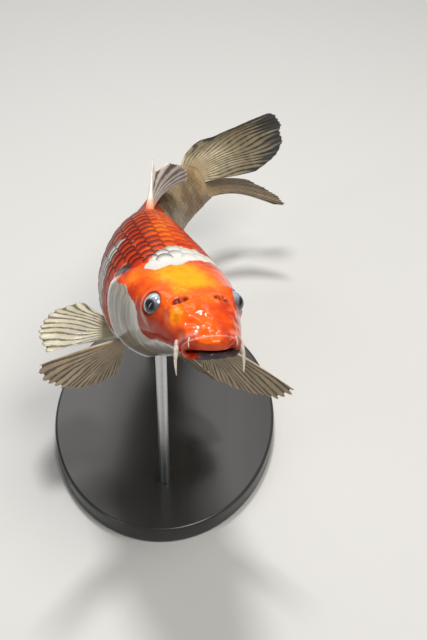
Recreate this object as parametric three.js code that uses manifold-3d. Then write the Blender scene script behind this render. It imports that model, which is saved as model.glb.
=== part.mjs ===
// A koi carp, life size, as a still model on a display stand: head up as if
// feeding at the surface, paired fins spread, tail swung to its left.
// Millimetres, +Z up, floor at z = 0, origin under the middle of the stand base.
// The fish faces -Y. Its body is one form swept along a bent spine and parted
// by thin cuts; each fin is a fan of rays that grows out of that form.
import * as THREE from "three";
import { LoftGeometry } from "three/addons/geometries/LoftGeometry.js";
import { mergeVertices } from "three/addons/utils/BufferGeometryUtils.js";
import Module from "manifold-3d";

const wasm = await Module();
wasm.setup();

// ---------------------------------------------------------------- dimensions
const SPINE_END = 570; // the spine runs on through the tail fin
const SNOUT = new THREE.Vector3(40, -165, 232); // where the snout is held
const GAP = 0.3; // clearance of every cut
const CUT_HEAD = 106; // back of the skull, along the spine
const CUT_TRUNK = 225; // middle of the trunk
const CUT_TAIL = 345; // front of the tail root
const EYE_RADIUS = 8.4;
const FIN_ROOT = 4; // how deep a fin starts inside the body before it is trimmed

// The bend of the spine, in degrees: heading turns the head to +X, pitch lifts
// it, roll lowers the fish's left side.
const BEND = [
  { s: 0, heading: 18, pitch: 21, roll: 10 },
  { s: 86, heading: 18, pitch: 23.5, roll: 10 },
  { s: 194, heading: 11, pitch: 34, roll: 9 },
  { s: 280, heading: -5, pitch: 16, roll: 3 },
  { s: 365, heading: -17, pitch: 0, roll: -12 },
  { s: 430, heading: -46, pitch: 9, roll: -50 },
  { s: 500, heading: -82, pitch: -12, roll: -26 },
  { s: 570, heading: -102, pitch: -12, roll: -26 },
];

// The body's girth: half width, height of the back and depth of the belly from
// the spine, and how square (under 1) or pinched (over 1) the section is.
const GIRTH = [
  { s: -6, half: 8, back: 1, belly: 4, roof: 1, keel: 1 },
  { s: -3, half: 13, back: 4, belly: 6.5, roof: 0.95, keel: 0.95 },
  { s: 2, half: 16.5, back: 7, belly: 9, roof: 0.9, keel: 0.9 },
  { s: 10, half: 20, back: 11, belly: 12, roof: 0.9, keel: 0.85 },
  { s: 20, half: 23.5, back: 15, belly: 16, roof: 0.85, keel: 0.85 },
  { s: 34, half: 27, back: 19, belly: 21.5, roof: 0.82, keel: 0.85 },
  { s: 46, half: 29.5, back: 22, belly: 25.5, roof: 0.82, keel: 0.85 },
  { s: 62, half: 33.5, back: 25.5, belly: 30, roof: 0.85, keel: 0.85 },
  { s: 84, half: 38, back: 30, belly: 36, roof: 0.9, keel: 0.85 },
  { s: 105, half: 39.5, back: 35, belly: 41, roof: 0.98, keel: 0.88 },
  { s: 130, half: 40, back: 41, belly: 46, roof: 1.06, keel: 0.9 },
  { s: 160, half: 39, back: 48, belly: 50, roof: 1.12, keel: 0.95 },
  { s: 195, half: 36, back: 53, belly: 52, roof: 1.12, keel: 1 },
  { s: 240, half: 31, back: 50, belly: 48, roof: 1.1, keel: 1 },
  { s: 290, half: 23.5, back: 42, belly: 40, roof: 1.05, keel: 1 },
  { s: 340, half: 16.5, back: 32.5, belly: 31.5, roof: 1, keel: 1 },
  { s: 385, half: 11, back: 25, belly: 24.5, roof: 1, keel: 1 },
  { s: 412, half: 7.5, back: 20.5, belly: 20.5, roof: 1, keel: 1 },
  { s: 424, half: 4, back: 18, belly: 18, roof: 1, keel: 1 },
];
const SNOUT_S = GIRTH[0].s;
const BODY_END_S = GIRTH[GIRTH.length - 1].s;

// ------------------------------------------------------------------- helpers
const radians = THREE.MathUtils.degToRad;
const mix = THREE.MathUtils.lerp;

// A smooth curve through a table's stations that never overshoots them.
function through(table, key) {
  const at = table.map((row) => row.s);
  const value = table.map((row) => row[key]);
  const rise = at.slice(1).map((x, i) => (value[i + 1] - value[i]) / (x - at[i]));
  const slope = at.map((_, i) => {
    if (i === 0) return rise[0];
    if (i === at.length - 1) return rise[i - 1];
    if (rise[i - 1] * rise[i] <= 0) return 0;
    const before = at[i] - at[i - 1];
    const after = at[i + 1] - at[i];
    const a = 2 * after + before;
    const b = after + 2 * before;
    return (a + b) / (a / rise[i - 1] + b / rise[i]);
  });
  return (s) => {
    const x = THREE.MathUtils.clamp(s, at[0], at[at.length - 1]);
    let i = 0;
    while (i < at.length - 2 && x > at[i + 1]) i++;
    const step = at[i + 1] - at[i];
    const t = (x - at[i]) / step;
    const u = 1 - t;
    return (
      value[i] * u * u * (1 + 2 * t) +
      value[i + 1] * t * t * (3 - 2 * t) +
      slope[i] * step * t * u * u -
      slope[i + 1] * step * t * t * u
    );
  };
}

const bend = {
  heading: through(BEND, "heading"),
  pitch: through(BEND, "pitch"),
  roll: through(BEND, "roll"),
};
const girth = Object.fromEntries(
  ["half", "back", "belly", "roof", "keel"].map((key) => [key, through(GIRTH, key)]),
);

// Unit vectors of the fish at station s: forward to its snout, left, and up.
function axesAt(s) {
  const heading = radians(bend.heading(s));
  const pitch = radians(bend.pitch(s));
  const forward = new THREE.Vector3(
    Math.sin(heading) * Math.cos(pitch),
    -Math.cos(heading) * Math.cos(pitch),
    Math.sin(pitch),
  );
  const left = new THREE.Vector3(0, 0, 1).cross(forward).normalize();
  const roll = radians(-bend.roll(s));
  left.applyAxisAngle(forward, roll);
  return { forward, left, up: forward.clone().cross(left) };
}

// The spine, walked back from the snout in one-millimetre steps.
const spine = [SNOUT.clone()];
for (let s = 1; s <= SPINE_END; s++) {
  spine.push(spine[s - 1].clone().addScaledVector(axesAt(s - 0.5).forward, -1));
}

function spineAt(s) {
  if (s < 0) return SNOUT.clone().addScaledVector(axesAt(0).forward, -s);
  const i = Math.min(Math.floor(s), SPINE_END - 1);
  return spine[i].clone().lerp(spine[i + 1], s - i);
}

// A point beside the spine: lateral to the fish's left, height to its back.
function place(s, lateral, height) {
  const { left, up } = axesAt(s);
  return spineAt(s).addScaledVector(left, lateral).addScaledVector(up, height);
}

const signedPower = (x, power) => Math.sign(x) * Math.abs(x) ** power;

// A point of the body's surface. Angle 0 is the fish's left side, 90 its back,
// 180 its right side and 270 its belly; grow moves the surface out.
function skin(s, degrees, grow = 0) {
  const angle = radians(degrees);
  const across = Math.cos(angle);
  const upward = Math.sin(angle);
  const square = upward > 0 ? girth.roof(s) : girth.keel(s);
  const reach = upward > 0 ? girth.back(s) : girth.belly(s);
  return place(
    s,
    (girth.half(s) + grow) * signedPower(across, square),
    (reach + grow) * signedPower(upward, square),
  );
}

function solidOf(geometry) {
  const bare = new THREE.BufferGeometry()
    .setAttribute("position", geometry.attributes.position)
    .setIndex(geometry.index);
  const merged = mergeVertices(bare, 1e-4);
  return new wasm.Manifold(
    new wasm.Mesh({
      numProp: 3,
      vertProperties: merged.attributes.position.array,
      triVerts: new Uint32Array(merged.index.array),
    }),
  );
}

// A closed solid lofted through rings, whichever way round they were listed.
function loft(rings) {
  const middle = (ring) =>
    ring.reduce((sum, point) => sum.add(point), new THREE.Vector3()).divideScalar(ring.length);
  const start = middle(rings[0]);
  const facing = new THREE.Vector3();
  rings[0].forEach((point, i) => {
    const next = rings[0][(i + 1) % rings[0].length];
    facing.add(point.clone().sub(start).cross(next.clone().sub(start)));
  });
  const onward = middle(rings[1]).sub(start);
  const turned = facing.dot(onward) < 0 ? rings.map((ring) => [...ring].reverse()) : rings;
  return solidOf(new LoftGeometry(turned, { capStart: true, capEnd: true }));
}

// The largest of the pieces a cut leaves.
function largest(solid) {
  return solid.decompose().reduce((a, b) => (a.volume() > b.volume() ? a : b));
}

const koi = new THREE.Group();

function add(name, solid, { color, roughness = 0.4, metalness = 0 }) {
  const { vertProperties, triVerts } = solid.getMesh();
  const geometry = new THREE.BufferGeometry()
    .setAttribute("position", new THREE.BufferAttribute(new Float32Array(vertProperties), 3))
    .setIndex(new THREE.BufferAttribute(new Uint32Array(triVerts), 1));
  geometry.computeVertexNormals();
  const mesh = new THREE.Mesh(geometry, new THREE.MeshStandardMaterial({ color, roughness, metalness }));
  mesh.name = name;
  koi.add(mesh);
}

const ORANGE = { color: 0xe8551c, roughness: 0.3 };
const WHITE = { color: 0xd9d4c8, roughness: 0.35 };
const FIN = { color: 0xcbb692, roughness: 0.45 };
const EYE = { color: 0x2b3036, roughness: 0.08 };
const STAND = { color: 0x1c1c1e, roughness: 0.5 };
const STEEL = { color: 0x9a9da1, roughness: 0.35, metalness: 0.9 };

// ---------------------------------------------------------------------- body
const RING_SIDES = 24;

// A length of the body between two stations, with rings at most `step` apart.
function bodyLength(from, to, step, grow = 0, sides = RING_SIDES) {
  const count = Math.max(2, Math.ceil((to - from) / step));
  const rings = [];
  for (let i = 0; i <= count; i++) {
    const s = mix(from, to, i / count);
    rings.push(Array.from({ length: sides }, (_, j) => skin(s, (360 * j) / sides, grow)));
  }
  return loft(rings);
}

const body = bodyLength(SNOUT_S, BODY_END_S, 10, GAP);

add("trunk_front", bodyLength(CUT_HEAD + GAP, CUT_TRUNK, 10), ORANGE);
add("trunk_rear", bodyLength(CUT_TRUNK + GAP, CUT_TAIL, 12), ORANGE);
add("tail_root", bodyLength(CUT_TAIL + GAP, BODY_END_S, 12, 0, 24), WHITE);

// ---------------------------------------------------------------- gill covers
const GILL_FRONT = 64; // station of the cover's front edge
const GILL_REAR = 109; // rearmost point of its free edge
const GILL_TOP = 36; // degrees above the side
const GILL_BOTTOM = -72;
const GILL_THICKNESS = 3;
const GILL_FLARE = 2.2; // how far the free edge stands off the body

// The plate over the gills: side is 1 for the fish's left, -1 for its right.
function gillCover(side, slack) {
  const columns = 9;
  const rows = 6;
  const rings = [];
  for (let i = 0; i <= rows; i++) {
    const along = i / rows;
    const outer = [];
    const inner = [];
    for (let j = 0; j <= columns; j++) {
      const degrees = mix(GILL_BOTTOM - 3 * slack, GILL_TOP + 3 * slack, j / columns);
      const fromMiddle = (degrees + 12) / 58;
      const rear = GILL_REAR - 15 * fromMiddle ** 2;
      const front = GILL_FRONT + 5 * fromMiddle ** 2;
      const s = mix(front - 2 * slack, rear + 2 * slack, along);
      const flare = GILL_FLARE * along ** 2;
      const around = side > 0 ? degrees : 180 - degrees;
      outer.push(skin(s, around, flare + 4 * slack));
      inner.unshift(skin(s, around, flare - GILL_THICKNESS - 2 * slack));
    }
    rings.push([...outer, ...inner]);
  }
  return loft(rings);
}

// ------------------------------------------------------ head, jaw and eyes
const EYE_S = 47;
const EYE_LATERAL = 23.3;
const EYE_HEIGHT = 9.2;
const MOUTH_DEPTH = 26; // how far back the mouth's cut runs
const MOUTH_OPEN = 4.5; // gape between the lips

function eyeBall(side, radius) {
  const centre = place(EYE_S, side * EYE_LATERAL, EYE_HEIGHT);
  const ball = new THREE.SphereGeometry(radius, 14, 9);
  return solidOf(ball).translate(centre.x, centre.y, centre.z);
}

// A block in the head's own directions, from one corner of stations to another.
function headBlock(fromS, toS, halfWidth, low, high, openFront = 0) {
  const corners = (s, spread) => [
    place(s, -halfWidth, low - spread),
    place(s, halfWidth, low - spread),
    place(s, halfWidth, high + spread),
    place(s, -halfWidth, high + spread),
  ];
  return loft([corners(fromS, openFront), corners(toS, 0)]);
}

const NOSTRIL_S = 33;
const NOSTRIL_SIZE = new THREE.Vector3(3.6, 5.4, 2.6);

// An egg-shaped hollow sunk in the skull over each side of the snout.
function nostril(side) {
  const around = side > 0 ? 60 : 120;
  const centre = skin(NOSTRIL_S, around);
  const { forward, left, up } = axesAt(NOSTRIL_S);
  const egg = new THREE.SphereGeometry(1, 10, 6).scale(...NOSTRIL_SIZE);
  egg.applyMatrix4(new THREE.Matrix4().makeBasis(forward, left, up));
  return solidOf(egg).translate(centre.x, centre.y, centre.z);
}

const JAW_LINE = -3.2; // height of the mouth's corner
const gape = headBlock(-14, MOUTH_DEPTH - 6, 60, JAW_LINE - 0.2, JAW_LINE + 0.2, MOUTH_OPEN / 2);
const jawRoom = headBlock(-20, MOUTH_DEPTH, 60, -70, JAW_LINE);
const jawCut = headBlock(-20, MOUTH_DEPTH + GAP, 61, -71, JAW_LINE + GAP);

let skull = bodyLength(SNOUT_S, CUT_HEAD, 8, 0, 28);
add("lower_jaw", skull.intersect(jawRoom).subtract(gape), WHITE);
skull = skull.subtract(jawCut).subtract(gape);
for (const [side, hand] of [[1, "left"], [-1, "right"]]) {
  const cover = gillCover(side, 0).subtract(bodyLength(CUT_HEAD - 6, 130, 6, GAP));
  skull = skull.subtract(gillCover(side, GAP)).subtract(eyeBall(side, EYE_RADIUS + GAP));
  skull = skull.subtract(nostril(side));
  add(`gill_cover_${hand}`, cover, WHITE);
  add(`eye_${hand}`, eyeBall(side, EYE_RADIUS), EYE);
}
add("head", largest(skull), ORANGE);

// -------------------------------------------------------------------- barbels
// Four soft feelers: a long pair at the mouth's corners, a short pair before them.
function barbel(s, side, degrees, length, droop) {
  const around = side > 0 ? degrees : 180 - degrees;
  const { left, up, forward } = axesAt(s);
  const start = skin(s, around, GAP);
  const out = left.clone().multiplyScalar(side);
  const rings = [];
  const steps = 7;
  for (let i = 0; i <= steps; i++) {
    const t = i / steps;
    const centre = start
      .clone()
      .addScaledVector(out, length * (0.3 * t - 0.12 * t * t))
      .addScaledVector(up, -length * droop * t ** 1.3)
      .addScaledVector(forward, length * 0.35 * t);
    const radius = mix(1.6, 0.4, t);
    rings.push(
      Array.from({ length: 8 }, (_, j) => {
        const angle = (2 * Math.PI * j) / 8;
        return centre
          .clone()
          .addScaledVector(out, radius * Math.cos(angle))
          .addScaledVector(forward, radius * Math.sin(angle));
      }),
    );
  }
  return loft(rings).subtract(body);
}

for (const [side, hand] of [[1, "left"], [-1, "right"]]) {
  add(`barbel_${hand}_rear`, barbel(12, side, -14, 21, 0.95), WHITE);
  add(`barbel_${hand}_front`, barbel(6, side, 12, 10, 0.7), WHITE);
}

// ----------------------------------------------------------------------- fins
const RAY_THICK = 2.2; // a ray at the fin's root
const RAY_THIN = 1.1; // a ray at the fin's edge
const WEB_SHARE = 0.55; // the web between rays, as a share of the ray
const SCALLOP = 0.96; // the web's length, as a share of the rays'

// A fin as a corrugated sheet: at(v, t) is its middle surface, with v across
// the rays and t from root to edge. Even sections are rays and odd ones web.
function finSheet(rays, rows, at) {
  const columns = 2 * rays - 2;
  const tiny = 1e-3;
  const sections = [];
  for (let j = 0; j <= columns; j++) {
    const v = j / columns;
    const web = j % 2 === 1;
    const front = [];
    const back = [];
    for (let k = 0; k <= rows; k++) {
      const t = k / rows;
      const reach = t * (web ? mix(1, SCALLOP, t) : 1);
      const here = at(v, reach);
      const across = at(Math.min(v + tiny, 1), reach).sub(at(Math.max(v - tiny, 0), reach));
      const outward = at(v, reach + tiny).sub(at(v, reach));
      const normal = across.cross(outward).normalize();
      const half = (mix(RAY_THICK, RAY_THIN, t) * (web ? WEB_SHARE : 1)) / 2;
      front.push(here.clone().addScaledVector(normal, half));
      back.unshift(here.clone().addScaledVector(normal, -half));
    }
    sections.push([...front, ...back]);
  }
  return largest(loft(sections).subtract(body));
}

// Fins in the middle plane: rays stand on the back (side 1) or belly (side -1).
// Tables along the fin give each ray's length, how far it leans back, how far it
// tilts to the fish's left and how much more it bends that way by its tip.
function medianFin({ from, to, side, rays, rows, curl, shape }) {
  const [length, lean, tilt, bow] = ["mm", "lean", "tilt", "bow"].map((key) => through(shape, key));
  return finSheet(rays, rows, (v, t) => {
    const s = mix(from, to, v);
    const root = side > 0 ? girth.back(s) : girth.belly(s);
    const reach = (length(v) + FIN_ROOT) * t;
    const back = radians(lean(v) + curl * t);
    const aside = radians(tilt(v) + bow(v) * t);
    const rise = reach * Math.cos(back);
    return place(
      s + reach * Math.sin(back),
      rise * Math.sin(aside),
      side * (root - FIN_ROOT + rise * Math.cos(aside)),
    );
  });
}

add(
  "dorsal_fin",
  medianFin({
    from: 197,
    to: 342,
    side: 1,
    rays: 12,
    rows: 4,
    curl: 8,
    shape: [
      { s: 0, mm: 46, lean: 24, tilt: 0, bow: 0 },
      { s: 0.035, mm: 36, lean: 25, tilt: -1, bow: 6 },
      { s: 0.11, mm: 47, lean: 25, tilt: 0, bow: 20 },
      { s: 0.24, mm: 50, lean: 27, tilt: 4, bow: 31 },
      { s: 0.5, mm: 44, lean: 32, tilt: 13, bow: 38 },
      { s: 1, mm: 34, lean: 40, tilt: 30, bow: 32 },
    ],
  }),
  FIN,
);
add(
  "anal_fin",
  medianFin({
    from: 318,
    to: 354,
    side: -1,
    rays: 8,
    rows: 3,
    curl: 10,
    shape: [
      { s: 0, mm: 44, lean: 30, tilt: 0, bow: 0 },
      { s: 0.25, mm: 46, lean: 37, tilt: 0, bow: 0 },
      { s: 1, mm: 24, lean: 58, tilt: 0, bow: 0 },
    ],
  }),
  FIN,
);

// Each tail lobe fans out from the tail root; side is 1 for the upper lobe. Its
// table runs from the fork to the outer ray and gives each ray's length, its
// slant from the spine, how much of that it loses by its tip, and how far
// forward it starts. The lobe is turned about the spine by `tilt` degrees at its
// root and by `bow` more at its edge.
const TAIL_ROOT = 10; // how deep the tail's rays start inside the body
const UPPER_LOBE = [
  { s: 0, mm: 58, slant: -7, curl: 0, start: 0 },
  { s: 0.12, mm: 77, slant: 0, curl: 0, start: 0 },
  { s: 0.3, mm: 88, slant: 7, curl: 0, start: 0 },
  { s: 0.52, mm: 92, slant: 16, curl: 0, start: 0 },
  { s: 0.66, mm: 94, slant: 21.5, curl: 0, start: 0 },
  { s: 0.77, mm: 89, slant: 26.5, curl: 1, start: 1 },
  { s: 0.86, mm: 58, slant: 31, curl: 4, start: 3 },
  { s: 0.92, mm: 37, slant: 40, curl: 9, start: 5 },
  { s: 1, mm: 24, slant: 60, curl: 20, start: 8 },
];
const LOWER_LOBE = [
  { s: 0, mm: 44, slant: 19, curl: 0, start: 0 },
  { s: 0.3, mm: 60, slant: 21.5, curl: 0, start: 0 },
  { s: 0.7, mm: 80, slant: 24.5, curl: 0, start: 0 },
  { s: 0.9, mm: 84, slant: 26.5, curl: 0, start: 0 },
  { s: 1, mm: 70, slant: 27, curl: 0, start: 0 },
];
function tailLobe({ side, table, tilt, bow }) {
  const [length, slant, curl, start] = ["mm", "slant", "curl", "start"].map((key) => through(table, key));
  return finSheet(10, 4, (v, t) => {
    const angle = radians(slant(v) - curl(v) * t);
    const reach = (length(v) + TAIL_ROOT) * t;
    const spread = reach * Math.sin(angle);
    const aside = radians(tilt + bow * t);
    return place(
      BODY_END_S - TAIL_ROOT - start(v) + reach * Math.cos(angle),
      side * spread * Math.sin(aside),
      side * (0.8 + 14.5 * v + spread * Math.cos(aside)),
    );
  });
}
add("tail_fin_upper", tailLobe({ side: 1, table: UPPER_LOBE, tilt: 10, bow: 28 }), FIN);
add("tail_fin_lower", tailLobe({ side: -1, table: LOWER_LOBE, tilt: -65, bow: 9 }), FIN);

// Paired fins fan from a leading ray to a trailing ray, each given as its
// shares of out from the body, forward and up.
function pairedFin({ side, s, degrees, base, leading, trailing, rays, rows, lengths, camber }) {
  const length = through(lengths, "mm");
  const { left, up, forward } = axesAt(s);
  const out = left.clone().multiplyScalar(side);
  const inWorld = ([o, f, u]) =>
    new THREE.Vector3()
      .addScaledVector(out, o).addScaledVector(forward, f).addScaledVector(up, u)
      .normalize();
  const first = inWorld(leading);
  const last = inWorld(trailing);
  const turn = new THREE.Vector3().crossVectors(first, last).normalize();
  const sweep = first.angleTo(last);
  return finSheet(rays, rows, (v, t) => {
    const around = side > 0 ? degrees : 180 - degrees;
    const root = skin(s + base * v, around, -FIN_ROOT);
    const direction = first.clone().applyAxisAngle(turn, sweep * v);
    const reach = (length(v) + FIN_ROOT) * t;
    return root.addScaledVector(direction, reach).addScaledVector(turn, camber * reach * t);
  });
}

const PECTORAL_LENGTHS = [
  { s: 0, mm: 78 },
  { s: 0.15, mm: 72 },
  { s: 0.5, mm: 44 },
  { s: 1, mm: 25 },
];
const PELVIC_LENGTHS = [
  { s: 0, mm: 56 },
  { s: 0.3, mm: 60 },
  { s: 0.7, mm: 52 },
  { s: 1, mm: 40 },
];
const pectoral = { s: 111, degrees: -47, base: 11, rays: 12, rows: 3, lengths: PECTORAL_LENGTHS };
const pelvic = { s: 203, degrees: -62, base: 13, rays: 9, rows: 3, lengths: PELVIC_LENGTHS };

add(
  "pectoral_fin_right",
  pairedFin({
    ...pectoral, side: -1,
    leading: [0.89, 0.46, -0.03],
    trailing: [0.1, -0.35, -0.7],
    camber: 0.1,
  }),
  FIN,
);
add(
  "pectoral_fin_left",
  pairedFin({
    ...pectoral, side: 1,
    leading: [0.64, 0.68, -0.24],
    trailing: [0.25, -0.35, -0.75],
    camber: -0.1,
  }),
  FIN,
);
add(
  "pelvic_fin_right",
  pairedFin({ ...pelvic, side: -1, leading: [0.95, 0.2, -0.2], trailing: [0.75, -0.6, 0.5], camber: 0.05 }),
  FIN,
);
add(
  "pelvic_fin_left",
  pairedFin({
    ...pelvic, side: 1,
    leading: [0.75, -0.2, -0.5],
    trailing: [0.35, -0.85, -0.35],
    camber: -0.05,
  }),
  FIN,
);

// ---------------------------------------------------------------------- stand
const BASE_LENGTH = 250; // along Y
const BASE_WIDTH = 176;
const BASE_HEIGHT = 14;
const BASE_CHAMFER = 2;
const ROD_RADIUS = 4;
const FRONT_ROD_S = 128;
const REAR_ROD_S = 296;

const oval = new THREE.Shape().absellipse(
  0, 0, BASE_WIDTH / 2 - BASE_CHAMFER, BASE_LENGTH / 2 - BASE_CHAMFER, 0, 2 * Math.PI,
);
const plate = new THREE.ExtrudeGeometry(oval, {
  depth: BASE_HEIGHT - 2 * BASE_CHAMFER,
  bevelThickness: BASE_CHAMFER,
  bevelSize: BASE_CHAMFER,
  bevelSegments: 1,
  curveSegments: 20,
});
plate.translate(0, 0, BASE_CHAMFER);
add("stand_base", solidOf(plate), STAND);

// A rod from the base's top up to the belly, its end hollowed to fit it.
function rod(s) {
  const foot = skin(s, 270);
  const low = BASE_HEIGHT + GAP;
  const height = foot.z - low + 12;
  const bar = new THREE.CylinderGeometry(ROD_RADIUS, ROD_RADIUS, height, 20);
  bar.rotateX(Math.PI / 2);
  bar.translate(foot.x, foot.y, low + height / 2);
  return solidOf(bar).subtract(body);
}
add("stand_rod_front", rod(FRONT_ROD_S), STEEL);
add("stand_rod_rear", rod(REAR_ROD_S), STEEL);

export default koi;
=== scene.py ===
import math
import bpy
import numpy as np
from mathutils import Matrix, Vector


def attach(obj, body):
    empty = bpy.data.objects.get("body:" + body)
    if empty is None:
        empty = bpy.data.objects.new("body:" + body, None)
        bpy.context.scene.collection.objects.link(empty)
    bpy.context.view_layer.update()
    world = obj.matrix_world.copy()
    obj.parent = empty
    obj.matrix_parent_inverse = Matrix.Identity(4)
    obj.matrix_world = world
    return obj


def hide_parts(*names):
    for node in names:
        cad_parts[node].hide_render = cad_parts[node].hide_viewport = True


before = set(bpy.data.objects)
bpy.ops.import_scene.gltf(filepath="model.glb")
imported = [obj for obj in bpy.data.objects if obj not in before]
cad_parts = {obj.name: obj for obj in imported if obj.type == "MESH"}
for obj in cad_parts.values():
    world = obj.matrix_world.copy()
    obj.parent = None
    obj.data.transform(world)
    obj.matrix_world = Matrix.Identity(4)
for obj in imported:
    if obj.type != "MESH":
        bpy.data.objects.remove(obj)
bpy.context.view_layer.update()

bpy.ops.object.select_all(action="DESELECT")

# ------------------------------------------------------------------ the camera
# The view looks down on the raised head from in front of it, at forty degrees,
# from about three quarters of a metre away.
SNOUT = np.array([40.0, -165.0, 232.0])      # tip of the fish's snout, in millimetres
CAMERA_FROM_SNOUT = (-0.7, -575.8, 499.7)
LOOKING_DOWN = 40.0                          # degrees
bpy.ops.object.camera_add(
    location=[(a + b) / 1000 for a, b in zip(SNOUT, CAMERA_FROM_SNOUT)],
    rotation=(math.radians(90 - LOOKING_DOWN), 0, 0))
camera = bpy.context.object
camera.name = "camera"
camera.data.lens = 71.63
camera.data.sensor_width = 36.0
camera.data.clip_start = 0.02
bpy.context.scene.camera = camera

# ---------------------------------------------------------------- the showroom
# A wide pale floor under three soft lamps and a pale sky. A small bright lamp
# over the head gives the wet skin its sparks.
bpy.ops.mesh.primitive_plane_add(size=14)
floor = bpy.context.object
floor.name = "floor"
floor_paint = bpy.data.materials.new("floor_paint")
floor_paint.use_nodes = True
floor_paint.node_tree.nodes["Principled BSDF"].inputs["Base Color"].default_value = (0.56, 0.55, 0.53, 1)
floor_paint.node_tree.nodes["Principled BSDF"].inputs["Roughness"].default_value = 0.85
floor.data.materials.append(floor_paint)

def lamp(name, place, target, width, length, watts, colour):
    bpy.ops.object.light_add(type="AREA", location=place)
    light = bpy.context.object
    light.name = name
    light.data.shape = "RECTANGLE" if length else "DISK"
    light.data.size = width
    light.data.size_y = length or width
    light.data.energy = watts
    light.data.color = colour
    aim = Vector(target) - Vector(place)
    light.rotation_euler = aim.to_track_quat("-Z", "Y").to_euler()

fish_middle = (0.0, -0.02, 0.18)
lamp("key_lamp", (0.55, -0.45, 1.6), fish_middle, 0.8, 0, 17, (1.0, 0.97, 0.92))
lamp("fill_lamp", (-1.2, -0.8, 0.9), fish_middle, 0.25, 1.5, 4.5, (0.92, 0.96, 1.0))
lamp("back_lamp", (-0.3, 1.3, 1.3), fish_middle, 0.9, 0, 5, (1.0, 0.98, 0.95))
lamp("spark_lamp", (-0.02, 0.36, 1.35), (0.03, -0.14, 0.22), 0.22, 0, 12.5, (1.0, 1.0, 1.0))

sky = bpy.data.worlds.new("sky")
sky.use_nodes = True
sky.node_tree.nodes["Background"].inputs["Color"].default_value = (0.86, 0.88, 0.9, 1)
sky.node_tree.nodes["Background"].inputs["Strength"].default_value = 0.25
bpy.context.scene.world = sky
bpy.context.scene.view_settings.view_transform = "Standard"

# ------------------------------------------------------------------- the flesh
# One wet skin over head, trunk and tail root. It starts inside the mouth, rolls
# over the lips and runs back along a bent spine to the root of the tail fin,
# with sockets, nostrils and the free edges of the gill covers raised in it.
BEND = [  # station on the spine, heading, pitch and roll in degrees
    (0, 18, 21, 10), (86, 18, 23.5, 10), (194, 11, 34, 9), (280, -5, 16, 3),
    (365, -17, 0, -12), (430, -46, 9, -50), (500, -82, -12, -26), (570, -102, -12, -26)]
GIRTH = [  # station, half width, back, belly, and how square the upper and lower halves are
    (-6, 8, 1, 4, 1, 1), (-3, 13, 4, 6.5, 0.95, 0.95), (2, 16.5, 7, 9, 0.9, 0.9),
    (10, 20, 11, 12, 0.9, 0.85), (20, 23.5, 15, 16, 0.85, 0.85), (34, 27, 19, 21.5, 0.82, 0.85),
    (46, 29.5, 22, 25.5, 0.82, 0.85), (62, 33.5, 25.5, 30, 0.85, 0.85), (84, 38, 30, 36, 0.9, 0.85),
    (105, 39.5, 35, 41, 0.98, 0.88), (130, 40, 41, 46, 1.06, 0.9), (160, 39, 48, 50, 1.12, 0.95),
    (195, 36, 53, 52, 1.12, 1), (240, 31, 50, 48, 1.1, 1), (290, 23.5, 42, 40, 1.05, 1),
    (340, 16.5, 32.5, 31.5, 1, 1),
     (385, 11, 25, 24.5, 1, 1), (412, 7.5, 20.5, 20.5, 1, 1), (424, 4, 18, 18, 1, 1)]
BODY_END = 424.0
SPINE_END = 570

def follow(rows, column):
    at = np.array([row[0] for row in rows], float)
    value = np.array([row[column] for row in rows], float)
    step = np.diff(at)
    rise = np.diff(value) / step
    slope = np.concatenate([rise[:1], np.zeros(len(at) - 2), rise[-1:]])
    same = rise[:-1] * rise[1:] > 0
    a, b = 2 * step[1:] + step[:-1], step[1:] + 2 * step[:-1]
    low, high = np.where(same, rise[:-1], 1.0), np.where(same, rise[1:], 1.0)
    slope[1:-1] = np.where(same, (a + b) / (a / low + b / high), 0.0)

    def curve(s):
        x = np.clip(s, at[0], at[-1])
        i = np.clip(np.searchsorted(at, x, side="right") - 1, 0, len(step) - 1)
        t = (x - at[i]) / step[i]
        u = 1 - t
        return (value[i] * u * u * (1 + 2 * t) + value[i + 1] * t * t * (3 - 2 * t)
                + slope[i] * step[i] * t * u * u - slope[i + 1] * step[i] * t * t * u)
    return curve

heading, pitch, roll = (follow(BEND, k) for k in (1, 2, 3))
half_width, back, belly, roof, keel = (follow(GIRTH, k) for k in (1, 2, 3, 4, 5))

def axes_at(s):
    h, p, r = (np.radians(f(s))[..., None] for f in (heading, pitch, roll))
    forward = np.concatenate([np.sin(h) * np.cos(p), -np.cos(h) * np.cos(p), np.sin(p)], -1)
    left = np.cross([0.0, 0.0, 1.0], forward)
    left /= np.linalg.norm(left, axis=-1, keepdims=True)
    up = np.cross(forward, left)
    return forward, np.cos(r) * left - np.sin(r) * up, np.cos(r) * up + np.sin(r) * left

walk = axes_at(np.arange(0.5, SPINE_END, 1.0))[0]
spine_points = np.vstack([SNOUT, SNOUT - np.cumsum(walk, 0)])

def spine_at(s):
    out = np.stack([np.interp(s, np.arange(SPINE_END + 1), spine_points[:, k]) for k in range(3)], -1)
    return out + axes_at(np.zeros(1))[0][0] * np.maximum(-s, 0)[..., None]

def place(s, lateral, height):
    s, lateral, height = np.broadcast_arrays(np.asarray(s, float), lateral, height)
    forward, left, up = axes_at(s)
    return spine_at(s) + left * lateral[..., None] + up * height[..., None]

def bulge(x, power):
    return np.sign(x) * np.abs(x) ** power

def section(s, angle, grow=0.0):
    c, u = np.cos(angle), np.sin(angle)
    square = np.where(u > 0, roof(s), keel(s))
    reach = np.where(u > 0, back(s), belly(s))
    return (half_width(s) + grow) * bulge(c, square), (reach + grow) * bulge(u, square)

def smooth(low, high, x):
    t = np.clip((x - low) / (high - low), 0, 1)
    return t * t * (3 - 2 * t)

def hump(x, width):
    return np.exp(-(x / width) ** 2)

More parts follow.
